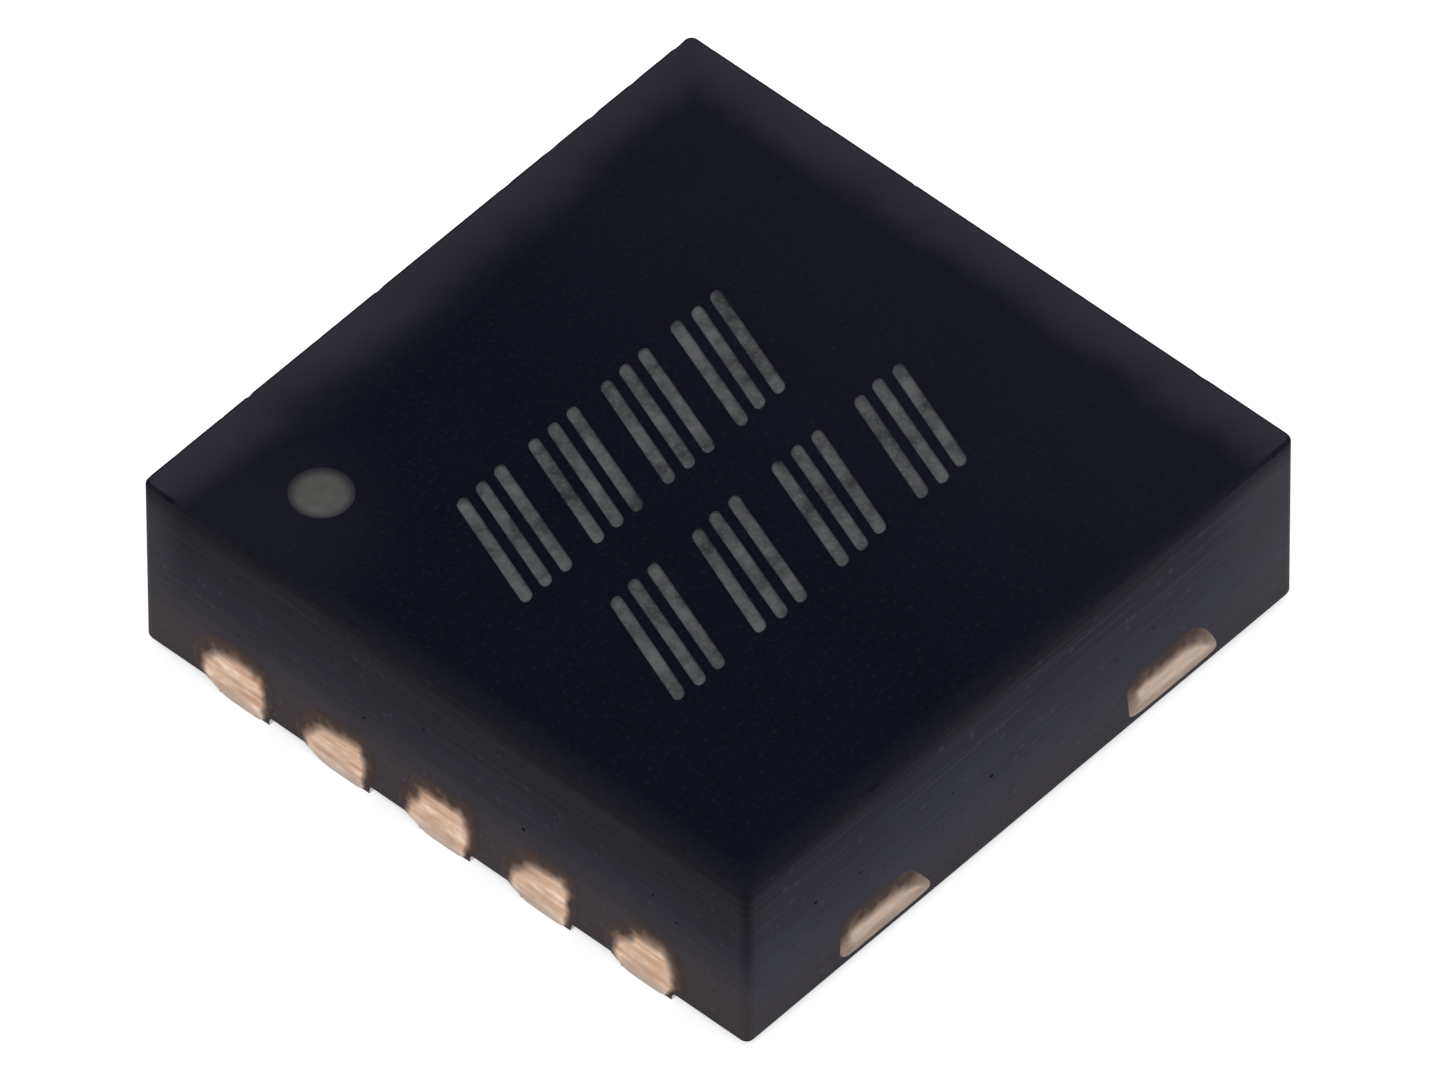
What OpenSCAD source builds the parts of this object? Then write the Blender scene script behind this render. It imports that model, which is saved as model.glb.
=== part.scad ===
// Interface transceiver chip in a ten-terminal leadless package, moulded round an etched copper frame.
// The origin is at the centre of the surface that the chip stands on, with +Z up. The two rows of
// terminals lie along the -X and +X sides. Terminals one to five run from +Y to -Y on the -X side,
// and terminals six to ten run back from -Y to +Y on the +X side.

/* [Moulded body] */
// Width of the body, across the two rows of terminals
body_w = 3; // [2.8:0.05:4]
// Length of the body, along the rows of terminals
body_l = 3; // [2.8:0.05:4]
// Thickness of the moulding compound
body_t = 0.85; // [0.75:0.05:1.2]
// Height of the body's underside above the surface that the terminals stand on
standoff = 0.03; // [0.01:0.01:0.05]

/* [Terminal one mark] */
// Diameter of the shallow dish in the top
mark_d = 0.25; // [0.15:0.01:0.35]
// Depth of the dish
mark_depth = 0.02; // [0.01:0.005:0.04]
// Distance from the side with terminals one to five to the dish's centre
mark_from_side = 0.4; // [0.3:0.01:0.6]
// Distance from the end beside terminal one to the dish's centre
mark_from_end = 0.53; // [0.3:0.01:0.7]

/* [Copper sheet] */
// Thickness of the sheet that the frame is etched from
sheet_t = 0.203; // [0.15:0.001:0.254]
// Depth of the half etch beneath ledges, rims and tie bars
etch_depth = 0.09; // [0.06:0.01:0.11]
// Reach of the ridge that etching from both faces leaves half way up a cut edge
ridge = 0.025; // [0.01:0.005:0.03]
// Height of the ridge's blunt tip
ridge_tip = 0.012; // [0.006:0.002:0.02]
// Radius that rounds the sheet's upper corners where the saw cuts it
cut_corner = 0.07; // [0.03:0.01:0.09]

/* [Terminals] */
// Distance between the centre lines of neighbouring terminals
lead_pitch = 0.5; // [0.4:0.01:0.6]
// Width of a terminal's land
lead_w = 0.25; // [0.18:0.01:0.3]
// Length of a terminal's land, inward from the side of the body
lead_l = 0.4; // [0.3:0.01:0.45]
// Reach of the half-etched ledge past the round inner end of a land
lead_ledge = 0.05; // [0.03:0.01:0.07]
// Length at the saw cut that has no ledge
ledge_stop = 0.1; // [0.05:0.01:0.15]

/* [Exposed pad] */
// Width of the exposed pad, across the two rows of terminals
pad_w = 1.65; // [1.3:0.05:1.7]
// Length of the exposed pad, along the rows of terminals
pad_l = 2.38; // [1.9:0.02:2.5]
// Radius of the exposed pad's corners
pad_corner = 0.125; // [0.05:0.005:0.2]
// Leg of the cut across the pad's corner beside terminal one
pad_chamfer = 0.35; // [0.2:0.01:0.45]
// Reach of the half-etched rim round the pad
pad_rim = 0.08; // [0.04:0.01:0.1]
// Width of a tie bar between its two ridges
tie_w = 0.35; // [0.2:0.01:0.4]
// Distance of a tie bar's centre line inside the edge of the exposed pad
tie_inset = 0.035; // [0:0.005:0.1]

/* [Die] */
// Width of the silicon die, across the two rows of terminals
die_w = 1.3; // [1:0.05:1.4]
// Length of the silicon die, along the rows of terminals
die_l = 1.7; // [1.5:0.05:1.9]
// Thickness of the silicon die
die_t = 0.2; // [0.1:0.01:0.25]
// Thickness of the adhesive under the die
glue_t = 0.025; // [0.01:0.005:0.04]
// Width of the adhesive that shows round the die
glue_margin = 0.05; // [0.02:0.01:0.08]
// Height to which the adhesive climbs the die's sides
glue_climb = 0.04; // [0.02:0.01:0.06]

/* [Bond wires] */
// Diameter of the gold wire
wire_d = 0.025; // [0.018:0.001:0.033]
// Radius of a bend in the wire, to its centre line
wire_bend = 0.04; // [0.03:0.005:0.06]
// Rise of a wire's crown above the die
wire_rise = 0.16; // [0.12:0.01:0.2]
// Run of the wire from its ball to its shoulder
wire_run = 0.22; // [0.18:0.01:0.26]
// Fall of the wire from its crown to its shoulder
wire_fall = 0.02; // [0.01:0.005:0.04]
// Diameter of the squashed ball on the die
ball_d = 0.065; // [0.055:0.005:0.075]
// Height of the squashed ball
ball_h = 0.018; // [0.012:0.002:0.024]
// Diameter of the flat on the ball's shoulder that the wire stands on
neck_d = 0.038; // [0.034:0.002:0.042]
// Height of the ball's shoulder
neck_h = 0.01; // [0.006:0.002:0.014]
// Distance between the balls along the edge of the die
ball_pitch = 0.3; // [0.2:0.01:0.33]
// Distance of the balls inside the edge of the die
ball_inset = 0.08; // [0.06:0.01:0.12]
// Distance from the round inner end of a land to the wire's landing on it
stitch_inset = 0.12; // [0.1:0.01:0.16]
// Length of the flattened stitch beyond the landing
stitch_l = 0.06; // [0.04:0.01:0.08]
// Width of the flattened stitch at its round end
stitch_w = 0.06; // [0.05:0.005:0.08]
// Thickness of the flattened stitch
stitch_t = 0.008; // [0.006:0.001:0.012]

/* [Hidden] */
$fn = 32;
ROW = 5;
COUNT = 2 * ROW;
LEADS = [for (i = [1:COUNT]) str("lead_", i)];
WIRES = [for (i = [1:COUNT]) str("bond_wire_", i)];
// Length by which a cut runs past the face that it opens
past = 0.1;
// Flat faces round a wire, and the largest angle between two stations of a bend
wire_sides = 8;
bend_step = 20;
body_top = standoff + body_t;
upper_t = sheet_t - etch_depth;
flank_h = (sheet_t - ridge_tip) / 2;
flank_r = (pow(ridge, 2) + pow(flank_h, 2)) / (2 * ridge);
mark_r = (pow(mark_d / 2, 2) + pow(mark_depth, 2)) / (2 * mark_depth);
tie_x = pad_w / 2 - tie_inset;
die_bottom = sheet_t + glue_t;
die_top = die_bottom + die_t;
ball_x = die_w / 2 - ball_inset;
land_x = body_w / 2 - lead_l + stitch_inset;

// -1 for terminals one to five, on the -X side, and 1 for six to ten
function side(i) = i <= ROW ? -1 : 1;
// Place of a terminal in its row, counted in pitches along +Y from the row's middle
function place(i) = side(i) * ((i - 1) % ROW - (ROW - 1) / 2);
// Angle of the line from a to b above the horizontal, in a wire's upright plane
function slope(a, b) = atan2(b[1] - a[1], b[0] - a[0]);
// Unit vector at an angle above the horizontal
function dir(angle) = [cos(angle), sin(angle)];

// Cross-section of a strip of the sheet, w wide at both faces, with hollow etched flanks
module etched_section(w) {
  difference() {
    round_topped(w + 2 * ridge, sheet_t, cut_corner);
    for (x = [-1, 1], z = [0, sheet_t])
      translate([x * (w / 2 + flank_r), z]) circle(r = flank_r);
  }
}

// Outline with its four corners rounded, centred on the origin
module rounded_plate(w, l, r) {
  square([w - 2 * r, l], center = true);
  square([w, l - 2 * r], center = true);
  for (x = [-1, 1], y = [-1, 1])
    translate([x * (w / 2 - r), y * (l / 2 - r)]) circle(r = r);
}

// Upright strip outline, w wide and h high, with its two upper corners rounded
module round_topped(w, h, r) {
  translate([-w / 2, 0]) square([w, h - r]);
  translate([-w / 2 + r, 0]) square([w - 2 * r, h]);
  for (x = [-1, 1])
    translate([x * (w / 2 - r), h - r]) circle(r = r);
}

// Lays a cross-section that stands in X and Z along the given length of -Y
module along_y(length) {
  rotate([90, 0, 0]) linear_extrude(length) children();
}

// Terminal of the +X row, with its centre line on the X axis
module terminal() {
  tip = body_w / 2 - lead_l + lead_w / 2;
  ledge_w = lead_w + 2 * lead_ledge;
  translate([body_w / 2, 0, 0]) rotate([0, 0, -90])
    along_y(body_w / 2 - tip) etched_section(lead_w);
  translate([tip, 0, 0]) cylinder(d = lead_w, h = sheet_t);
  translate([0, 0, etch_depth]) linear_extrude(upper_t) {
    translate([tip, 0]) circle(d = ledge_w);
    translate([tip, -ledge_w / 2]) square([body_w / 2 - ledge_stop - tip, ledge_w]);
  }
}

module lead(i) {
  color("#d2ab8c")
    translate([0, place(i) * lead_pitch, 0]) rotate(side(i) < 0 ? 180 : 0) terminal();
}

module exposed_pad() {
  color("#d2ab8c") {
    linear_extrude(sheet_t) difference() {
      rounded_plate(pad_w, pad_l, pad_corner);
      translate([-pad_w / 2, pad_l / 2]) rotate(45) square(pad_chamfer * sqrt(2), center = true);
    }
    translate([0, 0, etch_depth]) linear_extrude(upper_t)
      rounded_plate(pad_w + 2 * pad_rim, pad_l + 2 * pad_rim, pad_corner + pad_rim);
    for (x = [-1, 1])
      translate([x * tie_x, body_l / 2, 0]) along_y(body_l) intersection() {
        etched_section(tie_w);
        translate([-tie_w, etch_depth]) square([2 * tie_w, upper_t]);
      }
  }
}

module die_attach() {
  color("#b9b6ae") difference() {
    translate([0, 0, sheet_t]) linear_extrude(glue_t + glue_climb)
      rounded_plate(die_w + 2 * glue_margin, die_l + 2 * glue_margin, glue_margin);
    die();
  }
}

module die() {
  color("#5b6068")
    translate([-die_w / 2, -die_l / 2, die_bottom]) cube([die_w, die_l, die_t]);
}

// Stations along the bend at corner b of the path a to c, each with its X, its Z and its heading
function bend_stations(a, b, c) =
  let (
    from = slope(a, b),
    turn = from - slope(b, c),
    steps = ceil(turn / bend_step),
    centre = b - dir(from) * wire_bend * tan(turn / 2) - dir(from + 90) * wire_bend
  )
  [for (k = [0:steps]) let (h = from - turn * k / steps) concat(centre + wire_bend * dir(h + 90), h)];

// Skin of a wire through the given stations, closed at both ends
module swept_wire(stations) {
  last = len(stations) - 1;
  points = [
    for (s = stations, k = [0:wire_sides - 1])
      let (a = 360 * (k + 1 / 2) / wire_sides, p = dir(s[2] + 90) * cos(a) * wire_d / 2)
        [s[0] + p[0], sin(a) * wire_d / 2, s[1] + p[1]]
  ];
  walls = [
    for (s = [0:last - 1], k = [0:wire_sides - 1], half = [0, 1])
      let (n = (k + 1) % wire_sides, at = s * wire_sides, up = at + wire_sides)
        half == 0 ? [at + k, at + n, up + k] : [at + n, up + n, up + k]
  ];
  polyhedron(points, concat(
    [[for (k = [wire_sides - 1:-1:0]) k]],
    walls,
    [[for (k = [0:wire_sides - 1]) last * wire_sides + k]]
  ));
}

// Ball squashed on the die, with a shoulder that the wire stands in
module ball_bond() {
  flat_r = (ball_d - ball_h) / 2;
  neck_top = ball_h + neck_h;
  rotate_extrude() {
    polygon([[0, 0], [flat_r, 0], [flat_r, ball_h], [neck_d / 2, neck_top], [0, neck_top]]);
    translate([flat_r, ball_h / 2]) intersection() {
      circle(d = ball_h);
      translate([0, -ball_h / 2]) square(ball_h);
    }
  }
}

// Wedge pressed out of the wire where it lands on a terminal
module stitch_bond() {
  end_x = stitch_l - stitch_w / 2;
  linear_extrude(stitch_t) {
    polygon([
      [-wire_d, -wire_d / 2], [end_x, -stitch_w / 2], [end_x, stitch_w / 2], [-wire_d, wire_d / 2]
    ]);
    translate([end_x, 0]) circle(d = stitch_w);
  }
}

// Wire in its upright plane, from the ball at the origin to the landing at X = span
module looped_wire(span) {
  foot = [0, die_top];
  crown = [0, die_top + wire_rise];
  shoulder = [wire_run, crown[1] - wire_fall];
  landing = [span, sheet_t];
  fall = slope(shoulder, landing);
  translate([0, 0, die_top]) ball_bond();
  intersection() {
    swept_wire(concat(
      [concat(foot, slope(foot, crown))],
      bend_stations(foot, crown, shoulder),
      bend_stations(crown, shoulder, landing),
      [concat(landing + dir(fall) * past, fall)]
    ));
    translate([-past, -past, sheet_t]) cube([span + 2 * past, 2 * past, body_t]);
  }
  translate([span, 0, sheet_t]) stitch_bond();
}

module bond_wire(i) {
  ball = [side(i) * ball_x, place(i) * ball_pitch];
  run = [side(i) * land_x, place(i) * lead_pitch] - ball;
  color("#e2b84c")
    translate(ball) rotate(atan2(run[1], run[0])) looped_wire(norm(run));
}

module mold_body() {
  color("#191a20") difference() {
    translate([-body_w / 2, -body_l / 2, standoff]) cube([body_w, body_l, body_t]);
    translate([mark_from_side - body_w / 2, body_l / 2 - mark_from_end, body_top + mark_r - mark_depth])
      sphere(r = mark_r);
    exposed_pad();
    die_attach();
    die();
    for (i = [1:COUNT]) {
      lead(i);
      bond_wire(i);
    }
  }
}

mold_body();
exposed_pad();
die_attach();
die();
for (i = [1:COUNT]) {
  lead(i);
  bond_wire(i);
}
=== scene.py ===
import math
import random

import bmesh
import bpy
from bpy.props import FloatProperty, FloatVectorProperty, IntProperty, PointerProperty
from mathutils import Matrix, Vector


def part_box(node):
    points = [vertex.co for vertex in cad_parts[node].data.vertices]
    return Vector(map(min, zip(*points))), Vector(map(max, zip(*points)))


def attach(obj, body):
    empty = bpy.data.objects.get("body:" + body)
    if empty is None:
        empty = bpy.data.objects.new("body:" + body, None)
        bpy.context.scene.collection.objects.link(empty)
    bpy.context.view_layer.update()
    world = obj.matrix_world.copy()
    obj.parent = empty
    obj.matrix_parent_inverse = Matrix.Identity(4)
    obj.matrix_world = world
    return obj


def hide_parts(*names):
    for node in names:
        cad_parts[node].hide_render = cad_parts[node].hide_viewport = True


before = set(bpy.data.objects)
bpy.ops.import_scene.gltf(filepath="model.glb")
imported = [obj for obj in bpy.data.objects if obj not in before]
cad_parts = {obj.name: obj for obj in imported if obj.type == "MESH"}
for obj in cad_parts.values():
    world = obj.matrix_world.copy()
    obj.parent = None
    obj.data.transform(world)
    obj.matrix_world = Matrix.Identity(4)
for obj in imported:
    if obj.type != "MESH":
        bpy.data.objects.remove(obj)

bl_info = {
    "name": "Leadless transceiver chip",
    "version": (1, 0, 0),
    "blender": (4, 5, 0),
    "location": "3D View > Sidebar > Chip",
    "description": "Moulded body, copper and stage of a ten-terminal leadless chip",
    "category": "Object",
}

# One millimetre in the frame's metres. Pieces are shaped in millimetres and brought to metres
# at the end, because mesh tools lose features of a few micrometres when they work in metres.
MM = 0.001
# Decimals of a millimetre to which a copy of a CAD node is rounded, so that faces that touch match
GRID = 5
# Points nearer than this are one point
MERGE = 2e-5
# Faces nearer than this to a plane lie in it
FLAT = 1e-4
# Start of each piece's own run of chance
SEED = 11

ROW = 5
COUNT = 2 * ROW
TERMINALS = [f"lead_{i}" for i in range(1, COUNT + 1)]
WIRES = [f"bond_wire_{i}" for i in range(1, COUNT + 1)]
BURIED = ["exposed_pad", "die_attach", "die", *TERMINALS, *WIRES]


def corners(node):
    """Lowest and highest corner of a CAD node, in millimetres."""
    low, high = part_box(node)
    return low / MM, high / MM


BODY_LOW, BODY_HIGH = corners("mold_body")


# Settings


def linear(code):
    """Linear colour, with full alpha, of an sRGB hex code."""
    channels = [int(code[k : k + 2], 16) / 255 for k in (1, 3, 5)]
    return (*(c / 12.92 if c <= 0.04045 else ((c + 0.055) / 1.055) ** 2.4 for c in channels), 1)


def length(name, text, default, low, high):
    """Size property in metres, given in millimetres."""
    return FloatProperty(
        name=name,
        description=text,
        default=default * MM,
        min=low * MM,
        max=high * MM,
        precision=6,
        unit="LENGTH",
    )


def angle(name, text, degrees):
    """Angle property, given in degrees."""
    return FloatProperty(name=name, description=text, default=math.radians(degrees), subtype="ANGLE")


def colour(name, text, code):
    """Colour property, given as an sRGB hex code."""
    return FloatVectorProperty(
        name=name, description=text, default=linear(code), size=4, min=0, max=1, subtype="COLOR"
    )


class ChipBody(bpy.types.PropertyGroup):
    """Sizes of what the moulded body shows beyond its CAD solid."""

    corner: length("Corner", "Radius of the four upright corners", 0.035, 0.005, 0.06)
    edge: length("Edge", "Width of the worn edges above and below", 0.014, 0.002, 0.03)
    nick: length("Nick", "Radius of the largest nick that the saw breaks from an edge", 0.024, 0.005, 0.05)
    nick_gap: length("Nick gap", "Mean distance between nicks along an edge", 0.14, 0.06, 1)
    pit: length("Pit", "Radius of the largest pit that a lost silica grain leaves", 0.01, 0.004, 0.02)
    pit_gap: length("Pit gap", "Distance between pits on a sawn side", 0.28, 0.1, 1)
    dot: length("Dot", "Diameter of the terminal one dish", 0.25, 0.15, 0.35)
    dot_depth: length("Dot depth", "Depth of the terminal one dish", 0.02, 0.005, 0.04)
    dot_side: length("Dot from side", "From the side with terminal one to the dish's centre", 0.4, 0.3, 0.6)
    dot_end: length("Dot from end", "From the end beside terminal one to the dish's centre", 0.53, 0.3, 0.7)
    scar: length("Scar", "Depth of the laser-marked strokes", 0.006, 0.002, 0.015)
    stroke: length("Stroke", "Width of a laser-marked stroke", 0.058, 0.03, 0.12)
    stroke_pitch: length("Stroke pitch", "Distance between the strokes of a block", 0.105, 0.06, 0.2)
    lean: angle("Lean", "Angle at which the strokes lean", 20)
    strokes: IntProperty(name="Strokes", description="Strokes in a block", default=3, min=1, max=5)
    blocks: IntProperty(name="Blocks", description="Blocks of strokes in a row", default=4, min=1, max=6)


class ChipCopper(bpy.types.PropertyGroup):
    """Sizes of what the copper shows beyond its CAD solids."""

    burr_ahead: length("Burr ahead", "Largest burr on a sawn end's leading side", 0.105, 0.01, 0.12)
    burr_behind: length("Burr behind", "Largest burr on its trailing side", 0.042, 0.005, 0.05)
    burr_above: length("Burr above", "Burr above a sawn end", 0.085, 0.01, 0.1)
    burr_below: length("Burr below", "Burr below a tie bar's sawn end", 0.025, 0.002, 0.05)
    slant: length("Slant", "How much further ahead a burr's foot runs than its top", 0.11, 0, 0.2)
    rim: length("Rim", "Width of the burnt rim of a sawn end", 0.08, 0.01, 0.09)
    crown: length("Crown", "Width over which a sawn end rises inside its burnt rim", 0.04, 0.01, 0.06)
    rise: length("Rise", "Height of the middle of a sawn end above the side", 0.006, 0.002, 0.01)
    ragged: length("Ragged", "Unevenness of a burr's edge", 0.02, 0, 0.03)
    plated: length("Plated", "Height up to which the copper is tinned", 0.03, 0.005, 0.08)


class ChipFinish(bpy.types.PropertyGroup):
    """Colours of the chip's finishes."""

    moulded: colour("Moulded", "Moulded face of the compound", "#080a18")
    # Also the tone of the painted light gradient on the moulded face
    margin: colour("Margin", "Moulded face where it is rubbed, along two edges", "#33323b")
    sawn: colour("Sawn", "Sawn side of the compound", "#121425")
    # Painted light: the sawn side's lighter tone near the underside
    sawn_low: colour("Sawn low", "Sawn side near the underside, with grey saw dust", "#3f3f4d")
    filler: colour("Filler", "Cut grains of silica in the compound", "#5d5e66")
    broken: colour("Broken", "Broken compound at edges and nicks", "#1c1d26")
    scarred: colour("Scarred", "Laser-marked strokes", "#5a5c5e")
    dish: colour("Dish", "Terminal one dish", "#4f4e4b")
    copper: colour("Copper", "Sawn copper", "#d6b69c")
    bright: colour("Bright", "Fresh patch in sawn copper", "#eedaca")
    # Darker red-brown of the rim of a sawn end
    burnt: colour("Burnt", "Heated rim of sawn copper", "#38241c")
    tin: colour("Tin", "Matt tin plating", "#c9c8c4")


class ChipStage(bpy.types.PropertyGroup):
    """Light, floor and camera."""

    sky: FloatProperty(name="Sky", description="Strength of the even light", default=0.72, min=0)
    floor: colour("Floor", "Floor that the chip stands on", "#e6e6e6")
    azimuth: angle("Azimuth", "Camera's turn to the left of the front", -47.59)
    elevation: angle("Elevation", "Camera's height above the horizon", 48.33)
    roll: angle("Roll", "Camera's roll", -0.26)
    distance: length("Distance", "From the chip to the camera", 150, 20, 180)
    view_width: length("View width", "Width that the picture spans at the chip", 5.3125, 3, 20)
    aim_right: length("Aim right", "Camera's move to the right in its own plane", 0.0029, -2, 2)
    aim_up: length("Aim up", "Camera's move up in its own plane", 0.2675, -2, 2)


GROUPS = {
    "chip_body": ChipBody,
    "chip_copper": ChipCopper,
    "chip_finish": ChipFinish,
    "chip_stage": ChipStage,
}


def sizes(group):
    """The settings of a property group by name, with its lengths in millimetres."""
    values = {}
    for key in type(group).__annotations__:
        value = getattr(group, key)
        is_length = group.bl_rna.properties[key].unit == "LENGTH"
        values[key] = value / MM if is_length else value
    return values


# Meshes


def new_object(name, bm):
    """Object at the origin that holds the mesh, still in millimetres."""
    mesh = bpy.data.meshes.new(name)
    bm.to_mesh(mesh)
    bm.free()
    piece = bpy.data.objects.new(name, mesh)
    bpy.context.scene.collection.objects.link(piece)
    return piece


def node_copy(node):
    """Mesh of a CAD node in millimetres, with its loose triangles merged into one skin."""
    bm = bmesh.new()
    bm.from_mesh(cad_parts[node].data)
    bmesh.ops.scale(bm, vec=Vector((1, 1, 1)) / MM, verts=bm.verts)
    for v in bm.verts:
        v.co = [round(c, GRID) for c in v.co]
    bmesh.ops.remove_doubles(bm, verts=bm.verts, dist=MERGE)
    bmesh.ops.dissolve_degenerate(bm, edges=bm.edges, dist=MERGE)
    return bm


def round_edges(bm, edges, width, segments):
    """Bevels edges to a round of the given width."""
    bmesh.ops.bevel(
        bm,
        geom=edges,
        offset=width,
        offset_type="OFFSET",
        segments=segments,
        profile=0.5,
        affect="EDGES",
        material=-1,
        clamp_overlap=True,
    )


def is_upright(edge):
    """Whether an edge of a block stands upright."""
    return abs(edge.verts[0].co.z - edge.verts[1].co.z) > FLAT


def cut(piece, cutters):
    """Takes the cutters out of a piece, in turn, and deletes them."""
    for cutter in cutters:
        saw = piece.modifiers.new(cutter.name, "BOOLEAN")
        saw.operation = "DIFFERENCE"
        saw.solver = "MANIFOLD"
        saw.object = cutter
    bpy.context.view_layer.update()
    depsgraph = bpy.context.evaluated_depsgraph_get()
    shaped = bpy.data.meshes.new_from_object(piece.evaluated_get(depsgraph))
    piece.modifiers.clear()
    block = piece.data
    piece.data = shaped
    bpy.data.meshes.remove(block)
    for cutter in cutters:
        shape = cutter.data
        bpy.data.objects.remove(cutter)
        bpy.data.meshes.remove(shape)


def finish_piece(piece, bm, finishes, node):
    """Writes the mesh back in metres and puts the finished piece in the place of a CAD node."""
    bmesh.ops.scale(bm, vec=Vector((MM, MM, MM)), verts=bm.verts)
    piece.data.materials.clear()
    bm.to_mesh(piece.data)
    bm.free()
    for made in finishes:
        piece.data.materials.append(made)
    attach(piece, "root")
    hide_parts(node)


# Moulded body


def body_block(settings):
    """Moulded block with rounded upright corners and worn edges."""
    bm = bmesh.new()
    bmesh.ops.create_cube(bm, size=1)
    bmesh.ops.scale(bm, vec=BODY_HIGH - BODY_LOW, verts=bm.verts)
    bmesh.ops.translate(bm, vec=(BODY_LOW + BODY_HIGH) / 2, verts=bm.verts)
    round_edges(bm, [e for e in bm.edges if is_upright(e)], settings["corner"], segments=4)
    bm.normal_update()
    sharp = [e for e in bm.edges if e.calc_face_angle() > math.radians(80)]
    round_edges(bm, sharp, settings["edge"], segments=2)
    return bm


def nicks(settings, rng):
    """Flat lumps strung along the edges, where the saw breaks grains out of the compound."""
    bm = bmesh.new()
    x, y, z = BODY_HIGH
    low = BODY_LOW.z
    ends = [
        ((-x, -y, z), (x, -y, z)),
        ((x, -y, z), (x, y, z)),
        ((x, y, z), (-x, y, z)),
        ((-x, y, z), (-x, -y, z)),
        ((-x, -y, low), (-x, -y, z)),
        ((x, -y, low), (x, -y, z)),
        ((x, y, low), (x, y, z)),
        ((-x, y, low), (-x, y, z)),
    ]
    for start, end in ends:
        start, end = Vector(start), Vector(end)
        run = (end - start).length
        along = (end - start) / run
        turn = along.to_track_quat("X", "Z").to_matrix().to_4x4()
        at = settings["nick_gap"] * rng.uniform(0.5, 1)
        while at < run - settings["nick"]:
            # Most nicks are small, and each is longest along the edge and at some slope to it
            radius = settings["nick"] * rng.uniform(0.25, 1) ** 1.5
            lump = (
                Matrix.Translation(start + along * at)
                @ turn
                @ Matrix.Rotation(rng.uniform(0, math.tau), 4, "X")
                @ Matrix.Diagonal((rng.uniform(1, 2), 0.8, 0.55, 1))
            )
            bmesh.ops.create_icosphere(bm, subdivisions=2, radius=radius, matrix=lump)
            # Two of the largest nicks still lie clear of each other
            at += settings["nick"] * 4 + settings["nick_gap"] * rng.uniform(0, 1.2)
    return bm


# Height above the underside, in millimetres, from which the sawn sides carry pits, clear of the copper
PITS_ABOVE = 0.3


def pits(settings, rng):
    """Small lumps scattered over the four sawn sides, where whole grains of silica came out."""
    bm = bmesh.new()
    gap = settings["pit_gap"]
    for side, across in ((0, 1), (1, 0)):
        for end in (BODY_LOW, BODY_HIGH):
            rows = int((BODY_HIGH.z - BODY_LOW.z - PITS_ABOVE) / gap)
            columns = int((BODY_HIGH[across] - BODY_LOW[across]) / gap) - 1
            # One pit somewhere in each cell of a grid that keeps off the upright corners
            for k in range(rows * columns):
                place = Vector((0, 0, BODY_LOW.z + PITS_ABOVE + (k % rows + rng.uniform(0.1, 0.9)) * gap))
                place[across] = BODY_LOW[across] + (k // rows + rng.uniform(0.6, 1.4)) * gap
                place[side] = end[side]
                radius = settings["pit"] * rng.uniform(0.3, 1)
                lump = Matrix.Translation(place) @ Matrix.Diagonal((1, 1, rng.uniform(0.6, 1), 1))
                bmesh.ops.create_icosphere(bm, subdivisions=2, radius=radius, matrix=lump)
    return bm


def dot_centre(settings):
    """Middle of the terminal one dish, on the top face."""
    return Vector((BODY_LOW.x + settings["dot_side"], BODY_HIGH.y - settings["dot_end"], BODY_HIGH.z))


def dish_ball(settings):
    """Large ball whose lowest cap is the terminal one dish."""
    half, depth = settings["dot"] / 2, settings["dot_depth"]
    radius = (half**2 + depth**2) / (2 * depth)
    bm = bmesh.new()
    # The ball's rings are close, because only the lowest few of them make the dish
    bmesh.ops.create_uvsphere(bm, u_segments=96, v_segments=160, radius=radius)
    lift = Vector((0, 0, radius - depth))
    bmesh.ops.translate(bm, vec=dot_centre(settings) + lift, verts=bm.verts)
    return bm


# Each row of marks: its first and last X, and its lowest and highest Y, in millimetres
MARK_ROWS = [(-1.0, 0.62, 0.04, 0.58), (-0.98, 0.8, -0.7, -0.16)]


def stroke_bar(settings, height):
    """Leaning bar with round ends, centred on the origin, as a mesh."""
    bm = bmesh.new()
    bmesh.ops.create_cube(bm, size=1)
    bmesh.ops.scale(bm, vec=(settings["stroke"], height, 2 * settings["scar"]), verts=bm.verts)
    # Nearly half the width, so that the ends are round
    round_edges(bm, [e for e in bm.edges if is_upright(e)], settings["stroke"] * 0.45, segments=5)
    lean = Matrix.Identity(4)
    lean[0][1] = math.tan(settings["lean"])
    bmesh.ops.transform(bm, matrix=lean, verts=bm.verts)
    bar = bpy.data.meshes.new("bar")
    bm.to_mesh(bar)
    bm.free()
    return bar


def mark_strokes(settings, rng):
    """Leaning bars in plain blocks, sunk into the top face."""
    marks = bmesh.new()
    strokes, blocks = settings["strokes"], settings["blocks"]
    for first, last, low, high in MARK_ROWS:
        bar = stroke_bar(settings, high - low)
        half_bar = max(v.co.x for v in bar.vertices)
        block = (strokes - 1) * settings["stroke_pitch"]
        pitch = (last - first - block - 2 * half_bar) / max(blocks - 1, 1)
        for k in range(blocks * strokes):
            x = first + half_bar + k // strokes * pitch + k % strokes * settings["stroke_pitch"]
            stroke = bar.copy()
            # No two strokes are quite as tall
            stroke.transform(Matrix.Diagonal((1, rng.uniform(0.95, 1), 1, 1)))
            stroke.transform(Matrix.Translation((x, (low + high) / 2, BODY_HIGH.z)))
            marks.from_mesh(stroke)
            bpy.data.meshes.remove(stroke)
        bpy.data.meshes.remove(bar)
    return marks


MOULDED, SAWN, BROKEN, SCARRED, DISHED = range(5)


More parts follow.
